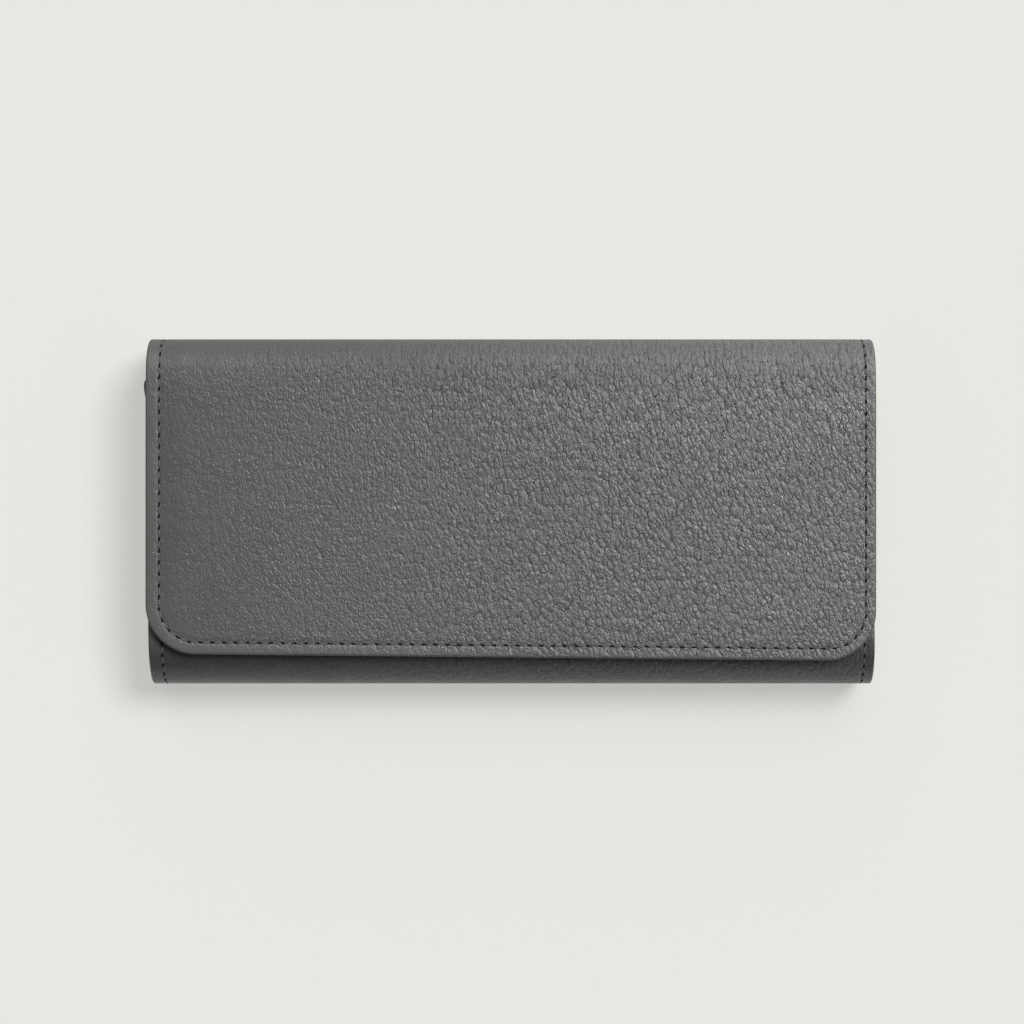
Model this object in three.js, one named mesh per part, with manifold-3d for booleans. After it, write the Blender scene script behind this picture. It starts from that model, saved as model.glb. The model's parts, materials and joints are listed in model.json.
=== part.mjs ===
// Continental wallet in grained leather, closed and lying on its back.
//
// Millimetres, +Z up. The origin is the centre of the back face, where it lies on the table.
// +X runs to the right along the wallet and +Y from the bottom fold up to the top fold.
//
// One long sheet of leather wraps the wallet: down the front panel, round the bottom, across the
// back, over the spine and down the flap. It is split here at its folds, so that each panel is a
// separate rigid solid. Inside are two banknote rooms with a zipped coin pocket between them,
// card strips on the inner faces, folded gussets at the sides and hidden magnets in the flap.
import * as THREE from "three";
import { mergeVertices } from "three/addons/utils/BufferGeometryUtils.js";
import Module from "manifold-3d";

const wasm = await Module();
wasm.setup();

// Overall size, closed
const FLAP_WIDTH = 190;
const BODY_WIDTH = 189.6;
const HEIGHT = 90.8; // bottom fold to top fold
const FLAP_DROP = 83.2; // top fold to the flap's lower edge
const FRONT_DROP = 10.7; // top fold to the front panel's upper edge
const FLAP_CORNER = 13;
const TOP_BEND = 9; // outer radius of the two folds beside the spine
const BOTTOM_BEND = 8;

// Sheet thicknesses
const COVER = 1.1;
const LINING = 0.5;
const BACK_BOARD = 0.5;
const MAGNET_BOARD = 0.8;
const STRIP = 0.4;
const WALL = 0.7;
const BAG = 0.3;
const GUSSET = 0.4;

// Rooms and running gaps
const ROOM = 4.2; // clear room in each of the three compartments
const FLAP_GAP = 0.3; // flap lining to front panel
const SPLIT = 0.3; // gap where the cover is split at a fold

// Card strips
const STRIP_WIDTH = 180; // two columns of cards side by side
const STRIP_LOW = -36.5;
const STRIP_STEP = 9;
const BACK_STRIPS = 4;
const BACK_STRIP_TOP = 26;
const FRONT_STRIPS = 3;
const FRONT_STRIP_TOP = 22;

// Magnets
const MAGNET_RADIUS = 7;
const MAGNET_FIT = 0.3;
const MAGNET_X = 42;
const MAGNET_Y = -26;

// Gussets
const FLANGE = 4;
const FLANGE_INSET = 0.1; // from the body's side edge
const GUSSET_DEPTH = 14; // side edge to the inner fold
const GUSSET_LOW = -36;
const GUSSET_HIGH = 32;

// Coin pocket and its zip
const POCKET_WIDTH = 187;
const POCKET_LOW = -38;
const POCKET_HIGH = 24;
const BAG_HIGH = 15.7;
const TAPE = 0.4;
const TAPE_WIDTH = 176;
const TAPE_LOW = 16;
const TAPE_HIGH = 26.6;
const TEETH_LENGTH = 156;
const TEETH_PITCH = 2.4;
const TEETH_HEIGHT = 1.8;
const BEAD = 0.7;
const TOOTH = 0.3;
const STOP = 1.5;
const STOP_GAP = 0.3;

// Zip slider and pull. The slider rests at the right end, with the zip closed.
const SLIDER_X = 70;
const SLIDER_LENGTH = 9;
const SLIDER_WIDTH = 6.8;
const SLIDER_PLATE = 1;
const SLIDER_SLACK = 0.3;
const POST_LENGTH = 2.6;
const POST_WIDTH = 1.2;
const BAIL_LENGTH = 4.4;
const BAIL_WIDTH = 2.2;
const BAIL_BAR = 0.8;
const BAIL_HOLE = 1.6;
const PULL_LENGTH = 13;
const PULL_WIDTH = 4.6;
const PULL_THICK = 1;
const PULL_EYE = [4.6, 3]; // window that clears the bail, along and across the pull

// Heights of the layers, from the table up
const Z_BACK_LINING = COVER + BACK_BOARD;
const Z_BACK_STRIPS = Z_BACK_LINING + LINING;
const Z_POCKET = Z_BACK_STRIPS + BACK_STRIPS * STRIP + ROOM;
const POCKET_THICK = 2 * (WALL + BAG) + ROOM;
const Z_POCKET_TOP = Z_POCKET + POCKET_THICK;
const Z_CHAIN = Z_POCKET + POCKET_THICK / 2;
const Z_FRONT_STRIPS = Z_POCKET_TOP + ROOM;
const Z_FRONT_LINING = Z_FRONT_STRIPS + FRONT_STRIPS * STRIP;
const Z_FRONT_BOARD = Z_FRONT_LINING + LINING;
const Z_BODY_TOP = Z_FRONT_BOARD + MAGNET_BOARD + COVER;
const Z_FLAP_BOARD = Z_BODY_TOP + FLAP_GAP + LINING;
const Z_TOP = Z_FLAP_BOARD + MAGNET_BOARD + COVER;

// Places along the height
const Y_TOP = HEIGHT / 2;
const Y_BOTTOM = -HEIGHT / 2;
const Y_TOP_BEND = Y_TOP - TOP_BEND;
const Y_BOTTOM_BEND = Y_BOTTOM + BOTTOM_BEND;
const Y_FRONT_TOP = Y_TOP - FRONT_DROP;
const Y_FLAP_LOW = Y_TOP - FLAP_DROP;

const ARC_STEPS = 8; // facets on a quarter bend

// Materials, coloured as the photographed leather
const material = (color, roughness, metalness = 0) =>
  new THREE.MeshStandardMaterial({ color, roughness, metalness });
const GRAINED_LEATHER = material(0x666667, 0.55);
const SMOOTH_LEATHER = material(0x59595b, 0.6);
const FABRIC = material(0x3d3d40, 0.9);
const BOARD = material(0x8a8379, 0.9);
const STEEL = material(0xb4b4b6, 0.3, 1);

// Stretches of the cover's outer face in the YZ plane, in order from the front panel's upper edge
// to the flap's lower edge. Travel keeps the wallet's inside on the left.
const line = (y0, z0, y1, z1) => ({ y0, z0, y1, z1 });
const arc = (y, z, r, from, to) => ({ y, z, r, from, to });
const QUARTER = Math.PI / 2;
const FIRST_SPLIT = QUARTER / 4; // each top fold is split twice, so that it can roll out flat
const LAST_SPLIT = QUARTER - FIRST_SPLIT;
const splitAngle = SPLIT / 2 / TOP_BEND;
const zSplit = Z_BODY_TOP / 2;
const lowBend = (from, to) => arc(Y_TOP_BEND, TOP_BEND, TOP_BEND, from - QUARTER, to - QUARTER);
const highBend = (from, to) => arc(Y_TOP_BEND, Z_TOP - TOP_BEND, TOP_BEND, from, to);

const FRONT_PATH = [
  line(Y_FRONT_TOP, Z_BODY_TOP, Y_BOTTOM_BEND, Z_BODY_TOP),
  arc(Y_BOTTOM_BEND, Z_BODY_TOP - BOTTOM_BEND, BOTTOM_BEND, QUARTER, 2 * QUARTER),
  line(Y_BOTTOM, Z_BODY_TOP - BOTTOM_BEND, Y_BOTTOM, zSplit + SPLIT / 2),
];
const BOTTOM_TO_BACK_PATH = [
  line(Y_BOTTOM, zSplit - SPLIT / 2, Y_BOTTOM, BOTTOM_BEND),
  arc(Y_BOTTOM_BEND, BOTTOM_BEND, BOTTOM_BEND, 2 * QUARTER, 3 * QUARTER),
];
const BACK_PATH = [
  line(Y_BOTTOM_BEND, 0, Y_TOP_BEND, 0),
  lowBend(0, FIRST_SPLIT - splitAngle),
];
const LOW_FOLD_PATH = [lowBend(FIRST_SPLIT + splitAngle, LAST_SPLIT - splitAngle)];
const SPINE_PATH = [
  lowBend(LAST_SPLIT + splitAngle, QUARTER),
  line(Y_TOP, TOP_BEND, Y_TOP, Z_TOP - TOP_BEND),
  highBend(0, FIRST_SPLIT - splitAngle),
];
const HIGH_FOLD_PATH = [highBend(FIRST_SPLIT + splitAngle, LAST_SPLIT - splitAngle)];
const FLAP_PATH = [
  highBend(LAST_SPLIT + splitAngle, QUARTER),
  line(Y_TOP_BEND, Z_TOP, Y_FLAP_LOW, Z_TOP),
];

const TOP_FOLD_PATHS = [
  ["low_fold", LOW_FOLD_PATH],
  ["spine", SPINE_PATH],
  ["high_fold", HIGH_FOLD_PATH],
];

// Points of one stretch, moved inwards by depth
function stretchPoints(stretch, depth) {
  if (stretch.r) {
    const { y, z, r, from, to } = stretch;
    const steps = Math.ceil((ARC_STEPS * Math.abs(to - from)) / QUARTER);
    return new THREE.ArcCurve(y, z, r - depth, from, to, false).getPoints(steps);
  }
  const start = new THREE.Vector2(stretch.y0, stretch.z0);
  const end = new THREE.Vector2(stretch.y1, stretch.z1);
  const along = end.clone().sub(start).normalize();
  const inward = new THREE.Vector2(-along.y, along.x).multiplyScalar(depth);
  return [start.add(inward), end.add(inward)];
}

// Outline of one layer of the wrapped sheet, between two depths under the cover's outer face
function layerShape(path, near, far) {
  const outer = path.flatMap((stretch) => stretchPoints(stretch, near));
  const inner = path.flatMap((stretch) => stretchPoints(stretch, far)).reverse();
  const apart = (p, i, all) => i === 0 || p.distanceTo(all[i - 1]) > 1e-6;
  return new THREE.Shape([...outer, ...inner].filter(apart));
}

// Extrusion of a YZ outline along X, centred
const YZ_TO_WORLD = new THREE.Matrix4().makeBasis(
  new THREE.Vector3(0, 1, 0),
  new THREE.Vector3(0, 0, 1),
  new THREE.Vector3(1, 0, 0),
);
function extrudeAlongX(shape, width) {
  const geometry = new THREE.ExtrudeGeometry(shape, { depth: width, bevelEnabled: false });
  return geometry.translate(0, 0, -width / 2).applyMatrix4(YZ_TO_WORLD);
}

// Extrusion of an XZ outline along Y, from low to high
const XZ_TO_WORLD = new THREE.Matrix4().makeBasis(
  new THREE.Vector3(1, 0, 0),
  new THREE.Vector3(0, 0, 1),
  new THREE.Vector3(0, -1, 0),
);
function extrudeAlongY(shape, low, high) {
  const geometry = new THREE.ExtrudeGeometry(shape, { depth: high - low, bevelEnabled: false });
  return geometry.applyMatrix4(XZ_TO_WORLD).translate(0, high, 0);
}

// A flat rectangle in XY, with its two lower corners rounded
function panelShape(width, low, high, corner = 0) {
  const half = width / 2;
  const shape = new THREE.Shape().moveTo(half, high).lineTo(-half, high);
  if (corner === 0) return shape.lineTo(-half, low).lineTo(half, low);
  shape.absarc(-half + corner, low + corner, corner, 2 * QUARTER, 3 * QUARTER);
  return shape.absarc(half - corner, low + corner, corner, 3 * QUARTER, 4 * QUARTER);
}

function panel(shape, thick) {
  const options = { depth: thick, bevelEnabled: false, curveSegments: ARC_STEPS };
  return new THREE.ExtrudeGeometry(shape, options);
}

function box(x, y, z, width, height, thick) {
  return new THREE.BoxGeometry(width, height, thick).translate(x, y, z);
}

// Boolean work: geometry to solid and back
function toSolid(geometry) {
  const bare = new THREE.BufferGeometry();
  bare.setAttribute("position", geometry.getAttribute("position"));
  bare.setIndex(geometry.getIndex());
  const merged = mergeVertices(bare, 1e-4);
  return new wasm.Manifold(
    new wasm.Mesh({
      numProp: 3,
      vertProperties: merged.getAttribute("position").array,
      triVerts: new Uint32Array(merged.getIndex().array),
    }),
  );
}

function toGeometry(solid) {
  const mesh = solid.getMesh();
  return new THREE.BufferGeometry()
    .setAttribute("position", new THREE.BufferAttribute(mesh.vertProperties, 3))
    .setIndex(new THREE.BufferAttribute(mesh.triVerts, 1));
}

function join(...geometries) {
  return toGeometry(geometries.map(toSolid).reduce((sum, solid) => sum.add(solid)));
}

// Scene graph: one group for each body that moves as a whole
const BODIES = [
  "back", "low_fold", "spine", "high_fold", "flap",
  "coin_pocket", "front", "zip_slider", "zip_pull",
];
const wallet = new THREE.Group();
const bodies = {};
for (const name of BODIES) {
  bodies[name] = new THREE.Group();
  wallet.add(bodies[name]);
}

function addPart(body, name, geometry, finish, z = 0) {
  const mesh = new THREE.Mesh(geometry, finish);
  mesh.name = name;
  mesh.position.z = z;
  bodies[body].add(mesh);
}

// Leather cover
function addCover() {
  const bodyLayer = (path) => extrudeAlongX(layerShape(path, 0, COVER), BODY_WIDTH);
  addPart("front", "front_cover", bodyLayer(FRONT_PATH), GRAINED_LEATHER);
  addPart("back", "back_cover", bodyLayer([...BOTTOM_TO_BACK_PATH, ...BACK_PATH]), GRAINED_LEATHER);
  addPart("flap", "flap_cover", flapLayer(0, COVER), GRAINED_LEATHER);
  for (const [name, path] of TOP_FOLD_PATHS) {
    const layer = extrudeAlongX(layerShape(path, 0, COVER), FLAP_WIDTH);
    addPart(name, `${name}_cover`, layer, GRAINED_LEATHER);
  }
}

// One layer of the flap, cut to the flap's rounded outline
function flapLayer(near, far) {
  const layer = extrudeAlongX(layerShape(FLAP_PATH, near, far), FLAP_WIDTH);
  const outline = panelShape(FLAP_WIDTH, Y_FLAP_LOW, Y_TOP + 1, FLAP_CORNER);
  return toGeometry(toSolid(layer).intersect(toSolid(panel(outline, 2 * Z_TOP))));
}

// Linings that follow the cover's bends
function addLinings() {
  const backDepth = COVER + BACK_BOARD;
  const back = layerShape(BACK_PATH, backDepth, backDepth + LINING);
  addPart("back", "back_lining", extrudeAlongX(back, BODY_WIDTH), SMOOTH_LEATHER);
  for (const [name, path] of TOP_FOLD_PATHS) {
    const layer = extrudeAlongX(layerShape(path, COVER, COVER + LINING), FLAP_WIDTH);
    addPart(name, `${name}_lining`, layer, SMOOTH_LEATHER);
  }
  const flapDepth = COVER + MAGNET_BOARD;
  addPart("flap", "flap_lining", flapLayer(flapDepth, flapDepth + LINING), SMOOTH_LEATHER);
  const front = panelShape(BODY_WIDTH, Y_BOTTOM_BEND, Y_FRONT_TOP);
  addPart("front", "front_lining", panel(front, LINING), SMOOTH_LEATHER, Z_FRONT_LINING);
}

// Stiffening boards, the flap's and the front's with round seats for the magnets
function addBoards() {
  const back = panelShape(BODY_WIDTH, Y_BOTTOM_BEND, Y_TOP_BEND);
  addPart("back", "back_board", panel(back, BACK_BOARD), BOARD, COVER);
  const front = panelShape(BODY_WIDTH, Y_BOTTOM_BEND, Y_FRONT_TOP);
  addPart("front", "front_board", panel(withSeats(front), MAGNET_BOARD), BOARD, Z_FRONT_BOARD);
  const flap = panelShape(FLAP_WIDTH, Y_FLAP_LOW, Y_TOP_BEND, FLAP_CORNER);
  addPart("flap", "flap_board", panel(withSeats(flap), MAGNET_BOARD), BOARD, Z_FLAP_BOARD);
}

function withSeats(shape) {
  for (const side of [-1, 1]) {
    const seat = new THREE.Path();
    seat.absarc(side * MAGNET_X, MAGNET_Y, MAGNET_RADIUS + MAGNET_FIT, 0, 4 * QUARTER);
    shape.holes.push(seat);
  }
  return shape;
}

function addMagnets() {
  for (const [side, x] of [["left", -MAGNET_X], ["right", MAGNET_X]]) {
    for (const [body, z] of [["front", Z_FRONT_BOARD], ["flap", Z_FLAP_BOARD]]) {
      const disc = new THREE.CylinderGeometry(MAGNET_RADIUS, MAGNET_RADIUS, MAGNET_BOARD, 24);
      disc.rotateX(QUARTER).translate(x, MAGNET_Y, MAGNET_BOARD / 2);
      addPart(body, `${body}_magnet_${side}`, disc, STEEL, z);
    }
  }
}

// Card strips, stacked in steps so that each card shows its upper edge
function addCardStrips() {
  const strip = (top) => panel(panelShape(STRIP_WIDTH, STRIP_LOW, top), STRIP);
  for (let i = 0; i < BACK_STRIPS; i++) {
    const geometry = strip(BACK_STRIP_TOP - i * STRIP_STEP);
    addPart("back", `back_card_strip_${i + 1}`, geometry, SMOOTH_LEATHER, Z_BACK_STRIPS + i * STRIP);
  }
  for (let i = 0; i < FRONT_STRIPS; i++) {
    const geometry = strip(FRONT_STRIP_TOP - i * STRIP_STEP);
    const z = Z_FRONT_LINING - (i + 1) * STRIP;
    addPart("front", `front_card_strip_${i + 1}`, geometry, SMOOTH_LEATHER, z);
  }
}

// A gusset folds inwards as a V between two panels. Its lower flange is glued to the panel below
// and its upper flange to the panel above; the riser lifts a leg clear of the card strips.
function gussetShape(low, high, lowRiser, highRiser) {
  const edge = BODY_WIDTH / 2 - FLANGE_INSET;
  const riser = edge - FLANGE;
  const fold = BODY_WIDTH / 2 - GUSSET_DEPTH;
  const middle = (low + lowRiser + high - highRiser) / 2;
  return [
    [edge, low],
    [riser, low],
    [riser, low + lowRiser],
    [fold, middle],
    [riser, high - highRiser],
    [riser, high],
    [edge, high],
    [edge, high - GUSSET],
    [riser + GUSSET, high - GUSSET],
    [riser + GUSSET, high - highRiser - GUSSET],
    [fold + 3 * GUSSET, middle],
    [riser + GUSSET, low + lowRiser + GUSSET],
    [riser + GUSSET, low + GUSSET],
    [edge, low + GUSSET],
  ];
}

function addGussets() {
  const clear = 0.2; // leg to the face of the card strips
  const pairs = [
    ["back", Z_BACK_STRIPS, Z_POCKET, BACK_STRIPS * STRIP + clear, clear],
    ["coin_pocket", Z_POCKET_TOP, Z_FRONT_LINING, clear, FRONT_STRIPS * STRIP + clear],
  ];
  for (const [body, low, high, lowRiser, highRiser] of pairs) {
    const outline = gussetShape(low, high, lowRiser, highRiser);
    const room = body === "back" ? "back" : "front";
    for (const [side, sign] of [["left", -1], ["right", 1]]) {
      const points = outline.map(([x, z]) => new THREE.Vector2(sign * x, z));
      const geometry = extrudeAlongY(new THREE.Shape(points), GUSSET_LOW, GUSSET_HIGH);
      addPart(body, `${side}_${room}_gusset`, geometry, SMOOTH_LEATHER);
    }
  }
}

// Coin pocket: two leather walls round a fabric bag that is open at the top
function addCoinPocket() {
  const wall = () => panel(panelShape(POCKET_WIDTH, POCKET_LOW, POCKET_HIGH), WALL);
  addPart("coin_pocket", "coin_back_wall", wall(), SMOOTH_LEATHER, Z_POCKET);
  addPart("coin_pocket", "coin_front_wall", wall(), SMOOTH_LEATHER, Z_POCKET_TOP - WALL);
  const tall = BAG_HIGH - POCKET_LOW;
  const middle = (BAG_HIGH + POCKET_LOW) / 2;
  const outer = box(0, middle, Z_CHAIN, POCKET_WIDTH, tall, ROOM + 2 * BAG);
  const inner = box(0, middle + BAG, Z_CHAIN, POCKET_WIDTH - 2 * BAG, tall, ROOM);
  const bag = toGeometry(toSolid(outer).subtract(toSolid(inner)));
  addPart("coin_pocket", "coin_bag", bag, FABRIC);
}

// One row of zip teeth: a comb on a continuous bead, toward the middle of the pocket
function teethShape(side) {
  const root = Z_CHAIN + side * (ROOM / 2 + BAG - TAPE);
  const tip = root - side * BEAD;
  const point = tip - side * TOOTH;
  const left = -TEETH_LENGTH / 2;
  const count = Math.floor(TEETH_LENGTH / TEETH_PITCH);
  const outline = [new THREE.Vector2(left + TEETH_LENGTH, root), new THREE.Vector2(left, root)];
  for (let i = 0; i < count; i++) {
    const x = left + i * TEETH_PITCH;
    for (const [along, z] of [[0, tip], [0.3, point], [0.7, point], [1, tip]]) {
      const repeated = i > 0 && along === 0;
      if (!repeated) outline.push(new THREE.Vector2(x + along * TEETH_PITCH, z));
    }
  }
  return new THREE.Shape(outline);
}

function addZip() {
  const tapeTall = TAPE_HIGH - TAPE_LOW;
  const tapeY = (TAPE_HIGH + TAPE_LOW) / 2;
  const stopX = TEETH_LENGTH / 2 + STOP_GAP + STOP / 2;
  const teethY = TAPE_HIGH - TEETH_HEIGHT / 2;
  for (const [name, side] of [["back", -1], ["front", 1]]) {
    const tapeZ = Z_CHAIN + side * (ROOM / 2 + BAG - TAPE / 2);
    const tape = box(0, tapeY, tapeZ, TAPE_WIDTH, tapeTall, TAPE);
    addPart("coin_pocket", `zip_tape_${name}`, tape, FABRIC);
    const teeth = extrudeAlongY(teethShape(side), TAPE_HIGH - TEETH_HEIGHT, TAPE_HIGH);
    addPart("coin_pocket", `zip_teeth_${name}`, teeth, STEEL);
    const stopZ = Z_CHAIN + side * (ROOM / 2 + BAG - TAPE - BEAD / 2);
    const stop = box(stopX, teethY, stopZ, STOP, TEETH_HEIGHT, BEAD);
    addPart("coin_pocket", `zip_top_stop_${name}`, stop, STEEL);
  }
  const across = ROOM + 2 * BAG - 2 * TAPE;
  const bottomStop = box(-stopX, teethY, Z_CHAIN, STOP, TEETH_HEIGHT, across);
  addPart("coin_pocket", "zip_bottom_stop", bottomStop, STEEL);
}

// Slider: a top plate with side flanges, a post between the rows and a plate under them, with a
// bail on top for the pull
const Y_SLIDER_LOW = TAPE_HIGH + SLIDER_SLACK;
const Y_SLIDER_HIGH = Y_SLIDER_LOW + SLIDER_PLATE;
const Y_PULL = Y_SLIDER_HIGH + BAIL_HOLE / 2;

function addSlider() {
  const at = (y, z, long, tall, wide) => box(SLIDER_X, y, z, long, tall, wide);
  const topPlate = at(Y_SLIDER_LOW + SLIDER_PLATE / 2, Z_CHAIN, SLIDER_LENGTH, SLIDER_PLATE, SLIDER_WIDTH);
  const flangeTall = Y_SLIDER_LOW - POCKET_HIGH - SLIDER_SLACK + SLIDER_PLATE / 2;
  const flangeWide = SLIDER_WIDTH / 2 - (ROOM / 2 + BAG + SLIDER_SLACK);
  const flanges = [-1, 1].map((side) => {
    const z = Z_CHAIN + side * (SLIDER_WIDTH / 2 - flangeWide / 2);
    return at(POCKET_HIGH + SLIDER_SLACK + flangeTall / 2, z, SLIDER_LENGTH, flangeTall, flangeWide);
  });
  const lowHigh = TAPE_HIGH - TEETH_HEIGHT - SLIDER_SLACK;
  const lowWide = ROOM + 2 * (BAG - TAPE - SLIDER_SLACK);
  const lowPlate = at(lowHigh - SLIDER_PLATE / 2, Z_CHAIN, SLIDER_LENGTH, SLIDER_PLATE, lowWide);
  const postLow = lowHigh - SLIDER_PLATE / 2;
  const postHigh = Y_SLIDER_LOW + SLIDER_PLATE / 2;
  const post = at((postLow + postHigh) / 2, Z_CHAIN, POST_LENGTH, postHigh - postLow, POST_WIDTH);
  addPart("zip_slider", "zip_slider", join(topPlate, ...flanges, lowPlate, post, bail()), STEEL);
}

function bail() {
  const tall = BAIL_HOLE + BAIL_BAR;
  const low = Y_SLIDER_HIGH - SLIDER_PLATE / 2;
  const block = box(SLIDER_X, (low + Y_SLIDER_HIGH + tall) / 2, Z_CHAIN,
    BAIL_LENGTH, tall + SLIDER_PLATE / 2, BAIL_WIDTH);
  const hole = box(SLIDER_X, Y_PULL, Z_CHAIN, BAIL_LENGTH - 2 * BAIL_BAR, BAIL_HOLE, 2 * BAIL_WIDTH);
  return toGeometry(toSolid(block).subtract(toSolid(hole)));
}

// Pull: a flat tab whose crossbar turns under the bail. It lies along the closed zip, to the left.
function addPull() {
  const [eyeLong, eyeWide] = PULL_EYE;
  const half = PULL_WIDTH / 2;
  const bar = PULL_THICK / 2;
  const tab = new THREE.Shape().moveTo(-bar, -half).lineTo(PULL_LENGTH - half, -half);
  tab.absarc(PULL_LENGTH - half, 0, half, -QUARTER, QUARTER).lineTo(-bar, half);
  const eye = new THREE.Path().moveTo(bar, -eyeWide / 2).lineTo(bar, eyeWide / 2);
  tab.holes.push(eye.lineTo(bar + eyeLong, eyeWide / 2).lineTo(bar + eyeLong, -eyeWide / 2));
  const geometry = panel(tab, PULL_THICK).translate(0, 0, -PULL_THICK / 2);
  geometry.applyMatrix4(XZ_TO_WORLD).rotateY(2 * QUARTER).translate(SLIDER_X, Y_PULL, Z_CHAIN);
  addPart("zip_pull", "zip_pull", geometry, STEEL);
}

addCover();
addLinings();
addBoards();
addMagnets();
addCardStrips();
addGussets();
addCoinPocket();
addZip();
addSlider();
addPull();

export default wallet;
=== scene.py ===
"""Looks of the continental wallet: grained leather cover, stitching, card slots, zip and studio.

Shapes are worked out in millimetres on flat sheets and then folded into place: a point of the
cover is given by x, across the wallet, and s, the distance along the leather from the front
panel's upper edge, round the bottom, the back and the spine, to the flap's lower edge.
"""

import json
import math

import bmesh
import bpy
import numpy as np
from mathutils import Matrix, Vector


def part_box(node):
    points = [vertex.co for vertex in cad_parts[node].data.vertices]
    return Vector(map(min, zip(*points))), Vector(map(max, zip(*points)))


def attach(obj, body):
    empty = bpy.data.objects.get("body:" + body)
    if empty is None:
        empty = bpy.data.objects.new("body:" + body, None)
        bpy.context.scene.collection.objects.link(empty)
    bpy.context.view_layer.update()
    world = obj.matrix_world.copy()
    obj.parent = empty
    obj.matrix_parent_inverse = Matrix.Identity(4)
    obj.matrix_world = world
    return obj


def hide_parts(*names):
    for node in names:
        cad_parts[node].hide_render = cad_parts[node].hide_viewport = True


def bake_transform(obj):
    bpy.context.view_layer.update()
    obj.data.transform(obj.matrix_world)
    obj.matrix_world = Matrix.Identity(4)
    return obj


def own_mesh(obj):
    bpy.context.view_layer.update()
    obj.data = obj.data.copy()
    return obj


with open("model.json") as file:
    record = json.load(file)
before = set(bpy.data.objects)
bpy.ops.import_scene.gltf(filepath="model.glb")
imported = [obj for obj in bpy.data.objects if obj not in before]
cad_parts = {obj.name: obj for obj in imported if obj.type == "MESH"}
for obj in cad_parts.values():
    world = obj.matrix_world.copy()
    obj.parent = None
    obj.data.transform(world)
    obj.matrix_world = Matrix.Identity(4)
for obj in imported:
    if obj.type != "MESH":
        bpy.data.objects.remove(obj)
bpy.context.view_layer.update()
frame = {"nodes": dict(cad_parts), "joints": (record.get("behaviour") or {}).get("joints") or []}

MM = 0.001


def box_mm(node):
    """Lowest and highest corner of a CAD node, in millimetres."""
    low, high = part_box(node)
    return low / MM, high / MM


# Sizes taken from the CAD frame
FLAP_HALF = box_mm("flap_cover")[1].x
BODY_HALF = box_mm("back_cover")[1].x
Y_TOP = box_mm("spine_cover")[1].y
Y_BOTTOM = box_mm("back_cover")[0].y
Y_FLAP_LOW = box_mm("flap_cover")[0].y
Y_FRONT_TOP = box_mm("front_cover")[1].y
Z_TOP = box_mm("flap_cover")[1].z
Z_BODY = box_mm("front_cover")[1].z
FRONT_THICK = Z_BODY - box_mm("front_lining")[0].z
BACK_THICK = box_mm("back_card_strip_1")[0].z
FLAP_THICK = Z_TOP - box_mm("flap_lining")[0].z
LINING_THICK = 0.5
SPINE_THICK = Y_TOP - box_mm("spine_lining")[1].y + LINING_THICK

# Cover details in millimetres, read from the photograph or chosen to suit the CAD solids
TOP_BEND = 9.0
TOP_FULLNESS = 2.4  # the top bends turn more tightly in their middle than a circle, which has 2
BOTTOM_BEND = 8.0
FRONT_BEND = 12.0  # the front panel starts to turn down under the flap's edge
FLAP_CORNER = 13.0
FRONT_CORNER = 4.6
FLAP_SLOPE = 0.0098  # the flap's lower edge drops to the right
FOLD_DRAW_IN = 0.5  # the sides draw in where the leather folds
DRAW_IN_REACH = 13.0
FRONT_FLARE = 4.0  # the front panel's upper left corner peeps out beside the flap
FLARE_REACH = 2.5
FLARE_START = 30.0  # distance from the middle of the panel at which the flare begins
RIM = 0.5  # radius of the rounded cut edge
STITCH_INSET = 3.13
STITCH_PITCH = 3.05
STITCH_GROOVE = 0.14
SEAM_SHIFT = 0.43  # the seam lies a little to the right of the middle
LOW_SHIFT = 0.35  # so does the body below the flap
LOW_SHIFT_REACH = 22.0


# Folding the flat leather


LINE_STEP = 0.5  # largest distance of points along a straight stretch
BEND_POINTS = 90


def straight(start, end):
    """Points along a straight stretch of the cover line."""
    count = int(math.dist(start, end) / LINE_STEP) + 2
    return np.linspace(start, end, count)


def bend(centre, radius, start_deg, end_deg, fullness=2.0):
    """Points along a bend of the cover line.

    The radius is one number or one each for y and z. A fullness of 2 gives a circle or an ellipse;
    above 2 the bend starts more gently and turns more tightly in its middle.
    """
    angle = np.radians(np.linspace(start_deg, end_deg, BEND_POINTS))
    turn = np.stack([np.cos(angle), np.sin(angle)], axis=1)
    return np.array(centre) + np.array(radius) * np.sign(turn) * np.abs(turn) ** (2 / fullness)


class FoldLine:
    """A folded sheet's outer face, seen edge-on as a curve, measured by the distance s along it."""

    def __init__(self, stretches):
        points = np.concatenate(stretches)
        steps = np.hypot(*np.diff(points, axis=0).T)
        kept = np.concatenate([[True], steps > 1e-6])
        self.points = points[kept]
        steps = np.hypot(*np.diff(self.points, axis=0).T)
        self.s = np.concatenate([[0.0], np.cumsum(steps)])
        tangent = np.gradient(self.points, self.s, axis=0)
        tangent /= np.linalg.norm(tangent, axis=1)[:, None]
        self.inward = np.stack([-tangent[:, 1], tangent[:, 0]], axis=1)

    def at(self, s, depth):
        """The two coordinates of points at s, moved to the left of the line's way by depth."""
        return [
            np.interp(s, self.s, self.points[:, k])
            + depth * np.interp(s, self.s, self.inward[:, k])
            for k in range(2)
        ]

    def s_near(self, point):
        """Distance along the line of its point nearest to the given one."""
        return float(self.s[np.argmin(np.linalg.norm(self.points - point, axis=1))])


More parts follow.
